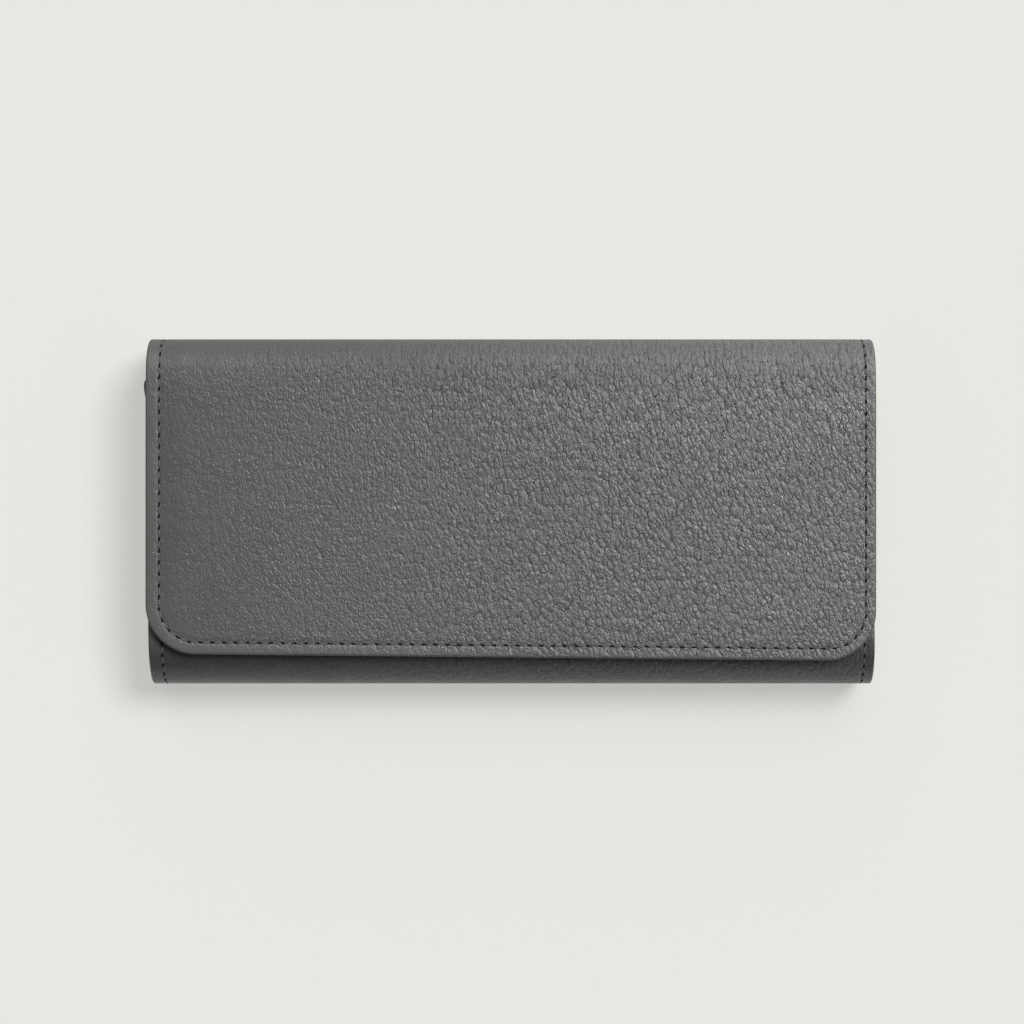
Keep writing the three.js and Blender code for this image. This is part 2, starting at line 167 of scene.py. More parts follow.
# Places along the cover line, as (y, z) points
Y_FRONT_BEND = Y_BOTTOM + FRONT_BEND
Y_LOW_BEND = Y_BOTTOM + BOTTOM_BEND
Y_HIGH_BEND = Y_TOP - TOP_BEND
HALF_CHORD = TOP_BEND * math.sqrt(0.5)
FRONT_BEND_START = (Y_FRONT_BEND, Z_BODY)
BOTTOM_MIDDLE = (Y_BOTTOM, Z_BODY / 2)
BACK_BEND_START = (Y_LOW_BEND, 0)
BACK_MIDDLE = (0, 0)
LOW_FOLD_START = (Y_HIGH_BEND, 0)
LOW_FOLD_MIDDLE = (Y_HIGH_BEND + HALF_CHORD, TOP_BEND - HALF_CHORD)
LOW_FOLD_END = (Y_TOP, TOP_BEND)
SPINE_MIDDLE = (Y_TOP, Z_TOP / 2)
HIGH_FOLD_START = (Y_TOP, Z_TOP - TOP_BEND)
HIGH_FOLD_MIDDLE = (Y_HIGH_BEND + HALF_CHORD, Z_TOP - TOP_BEND + HALF_CHORD)
HIGH_FOLD_END = (Y_HIGH_BEND, Z_TOP)

COVER = FoldLine([
    straight((Y_FRONT_TOP, Z_BODY), FRONT_BEND_START),
    bend((Y_FRONT_BEND, Z_BODY / 2), (FRONT_BEND, Z_BODY / 2), 90, 180),
    straight(BOTTOM_MIDDLE, (Y_BOTTOM, BOTTOM_BEND)),
    bend((Y_LOW_BEND, BOTTOM_BEND), BOTTOM_BEND, 180, 270),
    straight(BACK_BEND_START, LOW_FOLD_START),
    bend((Y_HIGH_BEND, TOP_BEND), TOP_BEND, 270, 360, TOP_FULLNESS),
    straight(LOW_FOLD_END, HIGH_FOLD_START),
    bend((Y_HIGH_BEND, Z_TOP - TOP_BEND), TOP_BEND, 0, 90, TOP_FULLNESS),
    straight(HIGH_FOLD_END, (Y_FLAP_LOW, Z_TOP)),
])

# The same places as distances along it
S_FRONT_BEND = COVER.s_near(FRONT_BEND_START)
S_BOTTOM = COVER.s_near(BOTTOM_MIDDLE)
S_BACK_BEND = COVER.s_near(BACK_BEND_START)
S_BACK = COVER.s_near(BACK_MIDDLE)
S_LOW_FOLD = COVER.s_near(LOW_FOLD_START)
S_LOW_MIDDLE = COVER.s_near(LOW_FOLD_MIDDLE)
S_SPINE = COVER.s_near(SPINE_MIDDLE)
S_HIGH_MIDDLE = COVER.s_near(HIGH_FOLD_MIDDLE)
S_FLAP = COVER.s_near(HIGH_FOLD_END)
S_END = float(COVER.s[-1])


def smooth(low, high, value):
    """0 below low, 1 above high, and an S-curve between them."""
    t = np.clip((value - low) / (high - low), 0, 1)
    return t * t * (3 - 2 * t)


def hump(centre, width, value):
    """A bell-shaped bump of height 1."""
    return np.exp(-(((value - centre) / width) ** 2))


def spread(start, *legs):
    """Places from start to the end of each leg in turn. A leg is its end and a count of steps."""
    places = [[start]]
    for end, count in legs:
        places.append(np.linspace(places[-1][-1], end, count + 1)[1:])
    return np.concatenate(places)


def cover_half_width(s):
    """Half the leather's width at s."""
    half = BODY_HALF + (FLAP_HALF - BODY_HALF) * smooth(S_LOW_FOLD, S_SPINE, s)
    return half - FOLD_DRAW_IN * hump(S_SPINE, DRAW_IN_REACH, s)


def cover_outline(inset):
    """The cover's flat outline, counter-clockwise in x and s, moved inwards by inset."""
    s_flap_corner = S_END - FLAP_CORNER
    side = spread(
        FRONT_CORNER, (S_FRONT_BEND, 23), (S_BACK_BEND, 27), (S_LOW_FOLD, 23), (S_FLAP, 35),
        (s_flap_corner, 19),
    )
    right = [(cover_half_width(s) - inset, s) for s in side]
    turn = np.radians(np.linspace(0, 90, 19))[1:]

    def corner(radius, s_centre, s_sign):
        """The right-hand corner at the end of the sheet to which s_sign points."""
        half = cover_half_width(s_centre) - radius
        inner = radius - inset
        return [
            (half + inner * math.cos(a), s_centre + s_sign * inner * math.sin(a)) for a in turn
        ]

    right = corner(FRONT_CORNER, FRONT_CORNER, -1)[::-1] + right
    right += corner(FLAP_CORNER, s_flap_corner, 1)
    left = [(-x, s) for x, s in reversed(right)]
    return drop_repeats(np.array(right + left))


def drop_repeats(points, gap=1e-4):
    """Closed outline without points that repeat the one before."""
    return points[np.linalg.norm(points - np.roll(points, 1, axis=0), axis=1) > gap]


def place_cover(x, s, depth):
    """Folds points of the flat cover into place, with its slope, flare and shift."""
    on_flap = smooth(S_FLAP - 4, S_END, s)
    s = s + FLAP_SLOPE * x * on_flap
    flare = FRONT_FLARE * np.exp(-np.maximum(s, 0) / FLARE_REACH)
    flare = flare * smooth(FLARE_START, BODY_HALF, -x)
    x = x - flare + LOW_SHIFT * hump(S_BOTTOM, LOW_SHIFT_REACH, s)
    past_end = np.clip(s - S_END, 0, None)
    y, z = COVER.at(s, depth)
    return np.stack([x, y - past_end, z], axis=1)


# Sheets of leather and cloth as closed meshes


def flat_mesh(outline, rings, rows, columns):
    """Cuts a flat outline into rings along its edge, rows and columns.

    Returns its points, its faces and its boundary edges, as indices into the points.
    """
    bm = bmesh.new()
    face = bm.faces.new([bm.verts.new((x, s, 0)) for x, s in outline])
    face.normal_update()
    for step in np.diff([0.0, *rings]):
        bmesh.ops.inset_region(
            bm, faces=[face], thickness=step, use_boundary=True, use_even_offset=True
        )
    for normal, cuts in ((Vector((0, 1, 0)), rows), (Vector((1, 0, 0)), columns)):
        for cut in cuts:
            everything = bm.verts[:] + bm.edges[:] + bm.faces[:]
            bmesh.ops.bisect_plane(
                bm, geom=everything, dist=1e-4, plane_co=normal * cut, plane_no=normal
            )
    bmesh.ops.recalc_face_normals(bm, faces=bm.faces)
    bm.normal_update()
    bm.verts.index_update()
    points = np.array([v.co[:2] for v in bm.verts])
    faces = []
    for f in bm.faces:
        corners = [v.index for v in f.verts]
        faces.append(corners if f.normal.z > 0 else corners[::-1])
    rim = [face_edge(e) for e in bm.edges if e.is_boundary]
    bm.free()
    return points, faces, rim


def face_edge(edge):
    """The two ends of a boundary edge, in the order of its face's corners seen from above."""
    loop = edge.link_loops[0]
    ends = (loop.vert.index, loop.link_loop_next.vert.index)
    return ends if loop.face.normal.z > 0 else ends[::-1]


def edge_distance(points, outline):
    """Distance of each point to the outline."""
    nearest = np.full(len(points), np.inf)
    for a, d in zip(outline, np.roll(outline, -1, axis=0) - outline):
        t = np.clip(((points - a) @ d) / (d @ d), 0, 1)
        nearest = np.minimum(nearest, np.linalg.norm(points - a - t[:, None] * d, axis=1))
    return nearest


def rounded(edge, radius):
    """Depth of a rounded cut edge at a distance from it."""
    gap = np.clip(radius - edge, 0, None)
    return radius - np.sqrt(np.clip(radius**2 - gap**2, 0, None))


def rounded_faces(thick, radius):
    """Depth functions of a plain sheet's two faces, with rounded cut edges."""

    def outer(x, s, edge):
        return rounded(edge, radius)

    def inner(x, s, edge):
        return thick - rounded(edge, radius)

    return outer, inner


def add_object(name, data):
    """A new object in the scene."""
    obj = bpy.data.objects.new(name, data)
    bpy.context.scene.collection.objects.link(obj)
    return obj


class Patch:
    """Vertices, faces, materials and leather coordinates of a mesh in the making."""

    def __init__(self):
        self.points = np.zeros((0, 3))
        self.flat = np.zeros((0, 3))
        self.faces = []
        self.slots = []

    def add(self, points, flat, faces, slots):
        """Adds a mesh part: flat holds x, s and the distance to the cut edge for each point."""
        start = len(self.points)
        self.points = np.concatenate([self.points, points])
        self.flat = np.concatenate([self.flat, flat])
        self.faces += [[i + start for i in f] for f in faces]
        self.slots += slots

    def part(self, chosen):
        """A patch with only the chosen faces."""
        used = sorted({i for k in chosen for i in self.faces[k]})
        new_index = {old: new for new, old in enumerate(used)}
        out = Patch()
        faces = [[new_index[i] for i in self.faces[k]] for k in chosen]
        out.add(self.points[used], self.flat[used], faces, [self.slots[k] for k in chosen])
        return out

    def build(self, name, materials, flat_shading=False):
        """Makes the object, in metres."""
        mesh = bpy.data.meshes.new(name)
        mesh.from_pydata((self.points * MM).tolist(), [], self.faces, shade_flat=flat_shading)
        for material in materials:
            mesh.materials.append(material)
        mesh.polygons.foreach_set("material_index", self.slots)
        attribute = mesh.attributes.new("flat", "FLOAT_VECTOR", "POINT")
        attribute.data.foreach_set("vector", self.flat.astype(np.float32).ravel())
        mesh.validate()
        return add_object(name, mesh)


OUTSIDE, INSIDE, RIM_SIDE, THREAD, HOLE_SHADE = range(5)


def sheet_patch(outline, rings, rows, columns, outer, inner, place):
    """A closed sheet. outer and inner give the depth of its faces from x, s and edge distance."""
    points, faces, rim = flat_mesh(outline, rings, rows, columns)
    edge = edge_distance(points, outline)
    x, s = points.T
    count = len(points)
    flat = np.stack([x, s, edge], axis=1)
    patch = Patch()
    both = np.concatenate([place(x, s, outer(x, s, edge)), place(x, s, inner(x, s, edge))])
    under = [[i + count for i in reversed(f)] for f in faces]
    wall = [[b, a, a + count, b + count] for a, b in rim]
    slots = [OUTSIDE] * len(faces) + [INSIDE] * len(under) + [RIM_SIDE] * len(wall)
    shell = faces + under + wall
    if not faces_outwards(both, faces[0], place, points[faces[0]].mean(axis=0)):
        shell = [f[::-1] for f in shell]
    patch.add(both, np.concatenate([flat, flat]), shell, slots)
    return patch


def faces_outwards(points, face, place, flat_point, side=1):
    """Whether a face's corners run counter-clockwise seen from outside the sheet."""
    a, b, c = (points[i] for i in face[:3])
    x, s = (np.full(1, v) for v in flat_point)
    outwards = side * (place(x, s, np.zeros(1)) - place(x, s, np.ones(1)))[0]
    return np.cross(b - a, c - a) @ outwards > 0


# Stitching


THREAD_SHARE = 0.66  # of the pitch
THREAD_RADIUS = 0.26
HOLE_SHADE_LONG = 1.45
HOLE_SHADE_WIDE = 0.56
HOLE_SHADE_LIFT = 0.06  # the dark slit of painted hole shade lies this far above the leather
HOLE_SHADE_SLANT = math.radians(9)


def resample(path):
    """Points and directions along a path, one for each stitch, and the pitch that fits it."""
    steps = np.linalg.norm(np.diff(path, axis=0), axis=1)
    length = np.concatenate([[0.0], np.cumsum(steps)])
    count = int(round(length[-1] / STITCH_PITCH))
    middle = (np.arange(count) + 0.5) * length[-1] / count

    def look_up(at):
        return np.stack([np.interp(at, length, path[:, k]) for k in range(2)], axis=1)

    reach = 0.4
    direction = look_up(middle + reach) - look_up(middle - reach)
    direction /= np.linalg.norm(direction, axis=1)[:, None]
    return look_up(middle), direction, length[-1] / count


def add_stitches(patch, path, surface, place, side=1, edge=STITCH_INSET):
    """Adds a run of thread stitches on a face of a sheet, each needle hole a dark slit of painted
    shade.

    surface gives the face's depth; side is 1 on the outer face and -1 on the inner one.
    """
    centres, directions, pitch = resample(np.asarray(path, float))
    hole_shade_a, hole_shade_b, hole_shade_faces = hole_shade_shape(HOLE_SHADE_LONG, HOLE_SHADE_WIDE)
    hole_shade_h = np.full(len(hole_shade_a), HOLE_SHADE_LIFT)
    shapes = (
        (hole_shade_a + pitch / 2, hole_shade_b, hole_shade_h, hole_shade_faces, HOLE_SHADE),
        (*thread_shape(THREAD_SHARE * pitch, THREAD_RADIUS), THREAD),
    )
    for (x, s), (dx, ds) in zip(centres, directions):
        for a, b, h, faces, slot in shapes:
            px = x + a * dx - b * ds
            ps = s + a * ds + b * dx
            points = place(px, ps, surface(px, ps) - side * h)
            flat = np.stack([px, ps, np.full(len(a), edge)], axis=1)
            if slot == HOLE_SHADE:  # the flat slit of painted hole shade comes first and shows which way both shapes face
                outwards = faces_outwards(points, faces[0], place, (x, s), side)
            turned = faces if outwards else [f[::-1] for f in faces]
            patch.add(points, flat, turned, [slot] * len(faces))


def thread_shape(length, radius, stations=7, around=6):
    """A thread that rises out of one needle hole and dips into the next."""
    t = np.repeat(np.linspace(-1, 1, stations), around)
    angle = np.tile(np.arange(around) * 2 * math.pi / around, stations)
    thin = 0.55 + 0.45 * np.sqrt(np.clip(1 - t**2, 0, 1))
    a = t * length / 2
    b = radius * thin * np.cos(angle)
    h = radius * (0.75 * thin * np.sin(angle) + 0.15 - 0.9 * t**4)
    faces = []
    for ring in range(0, (stations - 1) * around, around):
        for k in range(around):
            n = (k + 1) % around
            faces.append([ring + k, ring + n, ring + around + n, ring + around + k])
    return a, b, h, faces


def hole_shade_shape(length, width, count=10):
    """The dark slit of painted shade for a needle hole, slanted a little across the seam."""
    angle = np.arange(count) * 2 * math.pi / count
    a = length / 2 * np.cos(angle)
    b = width / 2 * np.sin(angle)
    along = a * math.cos(HOLE_SHADE_SLANT) - b * math.sin(HOLE_SHADE_SLANT)
    across = a * math.sin(HOLE_SHADE_SLANT) + b * math.cos(HOLE_SHADE_SLANT)
    return along, across, [list(range(count))]


# Materials


class Value:
    """A node's output. Arithmetic with other outputs or with numbers adds Math nodes."""

    def __init__(self, shader, socket):
        self.shader = shader
        self.socket = socket

    def __add__(self, other):
        return self.shader.math("ADD", self, other)

    def __sub__(self, other):
        return self.shader.math("SUBTRACT", self, other)

    def __rsub__(self, other):
        return self.shader.math("SUBTRACT", other, self)

    def __mul__(self, other):
        return self.shader.math("MULTIPLY", self, other)

    def __pow__(self, other):
        return self.shader.math("POWER", self, other)

    def __abs__(self):
        return self.shader.math("ABSOLUTE", self)


class Shader:
    """The nodes of a material or a world in the making, around its one shader."""

    def __init__(self, name, owner=None, surface="Principled BSDF"):
        self.owner = owner or bpy.data.materials.new(name)
        self.owner.use_nodes = True
        self.tree = self.owner.node_tree
        self.surface = self.tree.nodes[surface]

    def node(self, kind, inputs=None, output=0, **settings):
        """Adds a node and returns one of its outputs. Inputs are outputs or plain values."""
        made = self.tree.nodes.new("ShaderNode" + kind)
        for key, value in settings.items():
            setattr(made, key, value)
        for key, value in (inputs or {}).items():
            self.put(made.inputs[key], value)
        return Value(self, made.outputs[output])

    def parts(self, kind, inputs=None):
        """Adds a node and returns all its outputs by name."""
        outputs = self.node(kind, inputs).socket.node.outputs
        return {output.name: Value(self, output) for output in outputs}

    def put(self, socket, value):
        """Links an output to a socket, or sets the socket's own value."""
        if isinstance(value, Value):
            self.tree.links.new(value.socket, socket)
        else:
            socket.default_value = value

    def finish(self, **inputs):
        """Sets the shader's own sockets, named with underscores for spaces."""
        for key, value in inputs.items():
            self.put(self.surface.inputs[key.replace("_", " ")], value)
        return self.owner

    def math(self, operation, a, b=0.0):
        """One arithmetic step."""
        return self.node("Math", {0: a, 1: b}, operation=operation)

    def range(self, value, low, high, to_low=0.0, to_high=1.0):
        """A value moved smoothly from one range to another."""
        ends = {"From Min": low, "From Max": high, "To Min": to_low, "To Max": to_high}
        return self.node("MapRange", {"Value": value, **ends}, interpolation_type="SMOOTHSTEP")

    def grey(self, value):
        """A neutral colour."""
        return self.node("CombineColor", {0: value, 1: value, 2: value})

    def noise(self, vector, size, detail=2.0, output=0):
        """Noise from 0 to 1 with features of a size in millimetres. Output 1 has three of it."""
        inputs = {"Vector": vector, "Scale": 1 / size, "Detail": detail}
        return self.node("TexNoise", inputs, output, noise_dimensions="2D")

    def bump(self, height, strength, distance):
        """Relief, with the distance for a height of 1 in millimetres."""
        inputs = {"Height": height, "Strength": strength, "Distance": distance * MM}
        return self.node("Bump", inputs)


def flat_vector(mat):
    """The point's x, s and distance to the cut edge."""
    return mat.node("Attribute", output=1, attribute_name="flat")


def flat_coordinates(mat):
    """Outputs for x, s, the distance to the cut edge and the point on the flat sheet."""
    x, s, edge = mat.parts("SeparateXYZ", {0: flat_vector(mat)}).values()
    return x, s, edge, mat.node("CombineXYZ", {0: x, 1: s})


GRAIN_GROWTH = 1.3  # power by which the grain grows longer towards the spine
STRIP_SHARE = 0.3  # share by which the grain is drawn out on the strip below the flap


def stretched(mat, sheet, lean, stretch):
    """The sheet's coordinates with the grain leaning sideways and stretched along s.

    The stretch given is that at the flap's lower edge. It grows towards the spine, and the strip
    below the flap is drawn out too.
    """
    x, s, _ = mat.parts("SeparateXYZ", {0: sheet}).values()
    on_strip = mat.math("MAXIMUM", S_BOTTOM - s, 0.0)
    on_strip = mat.math("MINIMUM", on_strip, S_BOTTOM - S_FRONT_BEND + 4)
    away = s + on_strip * STRIP_SHARE - S_SPINE
    grown = abs(away) ** GRAIN_GROWTH * mat.math("SIGN", away)
    scale = 1 / (stretch * GRAIN_GROWTH * (S_END - S_SPINE) ** (GRAIN_GROWTH - 1))
    return mat.node("CombineXYZ", {0: x - lean, 1: grown * scale})


def wandering(mat, sheet, size, amount):
    """The sheet's coordinates pushed about, so that straight cell walls become crooked."""
    push = mat.noise(sheet, size, output=1)
    push = mat.node("VectorMath", {0: push, 1: (0.5, 0.5, 0.5)}, operation="SUBTRACT")
    inputs = {0: push, 1: (amount, amount, 0), 2: sheet}
    return mat.node("VectorMath", inputs, operation="MULTIPLY_ADD")


def pebbles(mat, vector, size):
    """Domes of pebbled grain, 1 at their tops."""
    inputs = {"Vector": vector, "Scale": 1 / size}
    return 1.0 - mat.node("TexVoronoi", inputs, voronoi_dimensions="2D") ** 2.0


def creases_between(mat, vector, size):
    """Creases between domes of the same size, from 0 to 1, missing here and there."""
    inputs = {"Vector": vector, "Scale": 1 / size}
    settings = {"voronoi_dimensions": "2D", "feature": "DISTANCE_TO_EDGE"}
    walls = mat.node("TexVoronoi", inputs, **settings)
    patchy = mat.range(mat.noise(vector, 1.3 * size, detail=1.0), 0.38, 0.62)
    return mat.range(walls, 0.0, 0.1, 1.0, 0.0) * patchy


# The cover's grain, in millimetres: size, stretch at the flap's lower edge, and height
PEBBLE_SIZE, PEBBLE_STRETCH, PEBBLE_HEIGHT = 1.15, 1.65, 0.25
WRINKLE_SIZE, WRINKLE_STRETCH, WRINKLE_HEIGHT = 0.56, 1.5, 0.1
CRUMB_SIZE, CRUMB_STRETCH = 0.27, 1.3
CREASE_DEPTH = 0.1
CREASE_PAINTED_SHADE = 0.55  # shares of painted shade in the creases, which are partly darker of their own, and of painted shadow on the strip below the flap
STRIP_PAINTED_SHADOW = 0.43


def grained_leather(name, shade):
    """The cover's pebbled leather: calmer at the left, on the folds and along the border.

    Places in its ranges are x, s and distances from the edge or the spine, in millimetres.
    """
    mat = Shader(name)
    x, s, edge, sheet = flat_coordinates(mat)
    from_spine = abs(s - S_SPINE)
    below_fold = mat.math("MAXIMUM", s - (S_FLAP + 2), 0.0)
    lean = below_fold * mat.range(x, -95, 80, 0.05, 0.26)
    crooked = wandering(mat, sheet, 2.0, 0.9)
    coarse = stretched(mat, crooked, lean, PEBBLE_STRETCH)
    tops = pebbles(mat, coarse, PEBBLE_SIZE)
    creases = creases_between(mat, coarse, PEBBLE_SIZE)
    wrinkles = pebbles(mat, stretched(mat, crooked, lean, WRINKLE_STRETCH), WRINKLE_SIZE)
    crumbs = mat.noise(stretched(mat, crooked, lean, CRUMB_STRETCH), CRUMB_SIZE, detail=1.0)

    # How much of each grain shows where
    border = mat.range(edge, 0.3, 3.4, 0.5, 1.0)
    past_bottom = mat.range(s, S_BACK_BEND, S_BACK_BEND + 8)
    on_back = past_bottom * mat.range(s, S_LOW_FOLD, S_LOW_FOLD - 8)
    past_front = mat.range(s, S_FRONT_BEND - 8, S_FRONT_BEND)
    on_bottom = past_front * mat.range(s, S_BOTTOM + 8, S_BOTTOM)
    # where the flap's shadow is painted on the strip below it; the strip's drawn-out streaks lie
    # there too
    flap_shadow_strip = mat.range(s, S_FRONT_BEND - 10, S_FRONT_BEND + 5)
    flap_shadow_strip = flap_shadow_strip * mat.range(s, S_BOTTOM + 6, S_BOTTOM - 6)
    on_flap = mat.range(s, S_FLAP - 16, S_FLAP - 9, 0.5, 1.0)
    off_fold = mat.math("MAXIMUM", on_flap, on_back * 0.85)
    calm = border * mat.math("MAXIMUM", off_fold, on_bottom)
    pebble_share = calm * mat.range(x, -95, 40, 0.14, 1.0)
    wrinkle_share = calm * mat.range(x, -95, -30, 0.35, 1.25)
    crumb_share = calm * mat.range(x, -95, -20, 0.42, 1.0)

    # Height of the grain
    creased = creases * pebble_share * mat.range(s, S_FLAP - 7, S_FLAP + 4, 0.3, 1.0)
    wrinkled = (wrinkles - 0.8) * wrinkle_share
    crumbled = (crumbs - 0.5) * crumb_share
    height = (tops - 0.8) * pebble_share * PEBBLE_HEIGHT - creased * CREASE_DEPTH
    height = height + wrinkled * WRINKLE_HEIGHT + crumbled * mat.range(x, -95, 0, 0.15, 0.09)
    height = height * mat.range(from_spine, 9, 30, 1.9, 1.0)

    # Tone: painted shade in the creases and painted shadow under the flap, specks and streaks, then
    # broad changes over the sheet, mostly painted light and shade
    # painted shadow of the flap on the strip below it, and painted shade in the creases, which are
    # partly darker of their own
    value = 1.0 - flap_shadow_strip * STRIP_PAINTED_SHADOW - creased * CREASE_PAINTED_SHADE
    fold_specks = mat.range(x, -95, -10, 1.9, 0.6)
    specks = crumbled * mat.range(from_spine, 12, 26, fold_specks, 1.0)
    specks = specks * mat.range(flap_shadow_strip, 0.0, 1.0, 1.0, 0.5)
    value = value + specks * mat.range(x, -95, 20, 1.0, 2.5)
    drawn_out = mat.node("CombineXYZ", {0: x, 1: s * 0.12})
    streaks = mat.noise(drawn_out, 0.42, detail=1.0) - 0.5
    value = value + streaks * flap_shadow_strip * 0.5
    for tone in (
        mat.range(mat.noise(sheet, 30, detail=3.0), 0.3, 0.7, 0.98, 1.02),
        # painted light: darker at the left and lighter at the right, and painted shadow of the flap
        # on the strip
        mat.range(flap_shadow_strip, 0.0, 1.0, mat.range(x, -100, 100, 0.82, 1.26), 0.87),
        # painted light: lighter towards the right up to the top fold, fading out on the flap below
        # it
        mat.range(s, S_FLAP - 4, S_FLAP + 26, mat.range(x, -95, 95, 0.98, 1.24), 1.0),
        # painted highlight: a lighter band where the top fold meets the flap, with everything
        # before it a little darker
        mat.range(s, S_FLAP - 6, S_FLAP - 1, 0.95, 1.11),
        mat.range(s, S_FLAP, S_FLAP + 4.5, 1.0, 0.9),
        # painted shade: darker towards the flap's lower edge on the right
        mat.range(s, S_END - 16, S_END - 5, 1.0, mat.range(x, -60, 90, 0.98, 0.92)),
        mat.range(s, S_END - 4, S_END - 2, 1.0, mat.range(x, -60, 30, 1.0, 0.86)),
        # painted highlight: the border outside the seam lighter towards the left
        mat.range(edge, 2.5, 3.2, mat.range(x, -90, 90, 1.14, 1.0), 1.0),
        mat.range(edge, 0.1, 0.5, 0.6, 1.0),
    ):
        value = value * tone
    roughness = mat.range(mat.noise(sheet, 9, detail=3.0), 0.3, 0.7, 0.32, 0.4)
    return mat.finish(
        Base_Color=mat.grey(value * shade),
        Roughness=roughness + mat.range(from_spine, 8, 26, 0.22, 0.0),
        Normal=mat.bump(height, 1.0, 1.0),
        Specular_IOR_Level=0.6,
    )


def smooth_leather(name, shade):
    """Fine-grained lining leather."""
    mat = Shader(name)
    *_, sheet = flat_coordinates(mat)
    tops = pebbles(mat, wandering(mat, sheet, 2.0, 0.8), 0.8)
    value = mat.range(mat.noise(sheet, 22, detail=3.0), 0.3, 0.7, 0.97, 1.03) * shade
    roughness = mat.range(mat.noise(sheet, 6), 0.3, 0.7, 0.5, 0.6)
    bump = mat.bump(tops, 0.6, 0.08)
    return mat.finish(Base_Color=mat.grey(value), Roughness=roughness, Normal=bump)


def edge_paint(name):
    """The painted cut edge, slightly uneven along its length."""
    mat = Shader(name)
    uneven = mat.noise(flat_vector(mat), 1.8, detail=3.0)
    value = mat.range(uneven, 0.25, 0.75, 0.045, 0.065)
    bump = mat.bump(uneven, 0.4, 0.08)
    return mat.finish(Base_Color=mat.grey(value), Roughness=0.42, Normal=bump)


def thread(name):
    """Waxed sewing thread with its twist."""
    mat = Shader(name)
    inputs = {"Vector": flat_vector(mat), "Rotation": (0, 0, math.radians(35))}
    turned = mat.node("Mapping", inputs)
    inputs = {"Vector": turned, "Scale": 1.4, "Distortion": 1.0}
    twist = mat.node("TexWave", inputs, output=1)
    value = mat.range(twist, 0.0, 1.0, 0.06, 0.12)
    bump = mat.bump(twist, 0.5, 0.05)
    return mat.finish(Base_Color=mat.grey(value), Roughness=0.6, Normal=bump)


def needle_hole_shade(name):
    """Painted shade of a needle hole's inside, near black."""
    mat = Shader(name)
    value = mat.range(mat.noise(flat_vector(mat), 0.4), 0.3, 0.7, 0.004, 0.012)
    return mat.finish(Base_Color=mat.grey(value), Roughness=0.9, Specular_IOR_Level=0.1)


WAVE_PERIOD = 0.314  # of a wave texture at a scale of 1


def woven(name, shade, yarn):
    """A plain weave with yarns a given distance apart."""
    mat = Shader(name)
    *_, sheet = flat_coordinates(mat)
    wave = {"Vector": sheet, "Scale": WAVE_PERIOD / yarn}
    across = mat.node("TexWave", wave, output=1, bands_direction="X")
    along = mat.node("TexWave", wave, output=1, bands_direction="Y")
    over = mat.node("TexChecker", {"Vector": sheet, "Scale": 1 / yarn}, output=1)
    height = across * over + along * (1.0 - over)
    worn = mat.range(mat.noise(sheet, 12, detail=3.0), 0.3, 0.7, 0.92, 1.06)
    colour = mat.grey(mat.range(height, 0.0, 1.0, 0.7, 1.15) * worn * shade)
    bump = mat.bump(height, 0.7, 0.2 * yarn)
    return mat.finish(Base_Color=colour, Roughness=0.85, Normal=bump, Sheen_Weight=0.15)


def zip_metal(name):
    """Nickel-plated metal with faint wear."""
    mat = Shader(name)
    inputs = {"Vector": mat.parts("TexCoord")["Object"], "Scale": 900.0, "Detail": 3.0}
    specks = mat.node("TexNoise", inputs)
    colour = mat.grey(mat.range(specks, 0.3, 0.7, 0.5, 0.6))
    roughness = mat.range(specks, 0.3, 0.7, 0.24, 0.36)
    bump = mat.bump(specks, 0.15, 0.03)
    return mat.finish(Base_Color=colour, Metallic=1.0, Roughness=roughness, Normal=bump)


LINING = smooth_leather("lining_leather", 0.085)
PAINT = edge_paint("edge_paint")
THREADS = [thread("thread"), needle_hole_shade("needle_hole_shade")]
COVER_MATERIALS = [grained_leather("grained_leather", 0.096), LINING, PAINT, *THREADS]
LINING_MATERIALS = [LINING, LINING, PAINT, *THREADS]
BAG_CLOTH = woven("bag_fabric", 0.06, 0.5)
TAPE_WEAVE = woven("zip_tape", 0.05, 0.4)
METAL = zip_metal("zip_metal")


# The cover: one sheet, folded, stitched and then parted where it bends between bodies


SEAM = cover_outline(STITCH_INSET) + (SEAM_SHIFT, 0)


def cover_thick(s):
    """Thickness of leather, board and lining together."""
    knots = [
        (0, FRONT_THICK), (S_FRONT_BEND - 2, FRONT_THICK), (S_FRONT_BEND + 6, SPINE_THICK),
        (S_BACK_BEND - 6, SPINE_THICK), (S_BACK_BEND + 2, BACK_THICK), (S_LOW_FOLD - 2, BACK_THICK),
        (S_LOW_FOLD + 6, SPINE_THICK), (S_FLAP - 6, SPINE_THICK), (S_FLAP + 2, FLAP_THICK),
        (S_END, FLAP_THICK),
    ]
    at, thick = zip(*knots)
    return np.interp(s, at, thick)


def stitch_groove(x, s):
    """Depth of the line pressed in by the stitching."""
    return STITCH_GROOVE * hump(0, 0.6, edge_distance(np.stack([x, s], axis=1), SEAM))


def cover_outer(x, s, edge):
    """Depth of the outer face: rounded rim and stitch groove."""
    return rounded(edge, RIM) + stitch_groove(x, s)


def cover_inner(x, s, edge):
    """Depth of the lining's face."""
    return cover_thick(s) - rounded(edge, RIM) - stitch_groove(x, s)


def cover_rows():
    """Cuts along the cover, close together where it bends."""
    return np.concatenate([
        np.arange(8, S_FRONT_BEND - 2, 8),
        spread(S_FRONT_BEND - 1, (S_BOTTOM, 25), (S_BACK_BEND + 1, 25)),
        spread(S_BACK_BEND, (S_BACK, 5), (S_LOW_FOLD - 1, 5))[1:],
        spread(S_LOW_FOLD, (S_LOW_MIDDLE, 12), (S_SPINE, 14), (S_HIGH_MIDDLE, 14), (S_FLAP, 12)),
        np.arange(S_FLAP + 3, S_END - 2, 6),
    ])


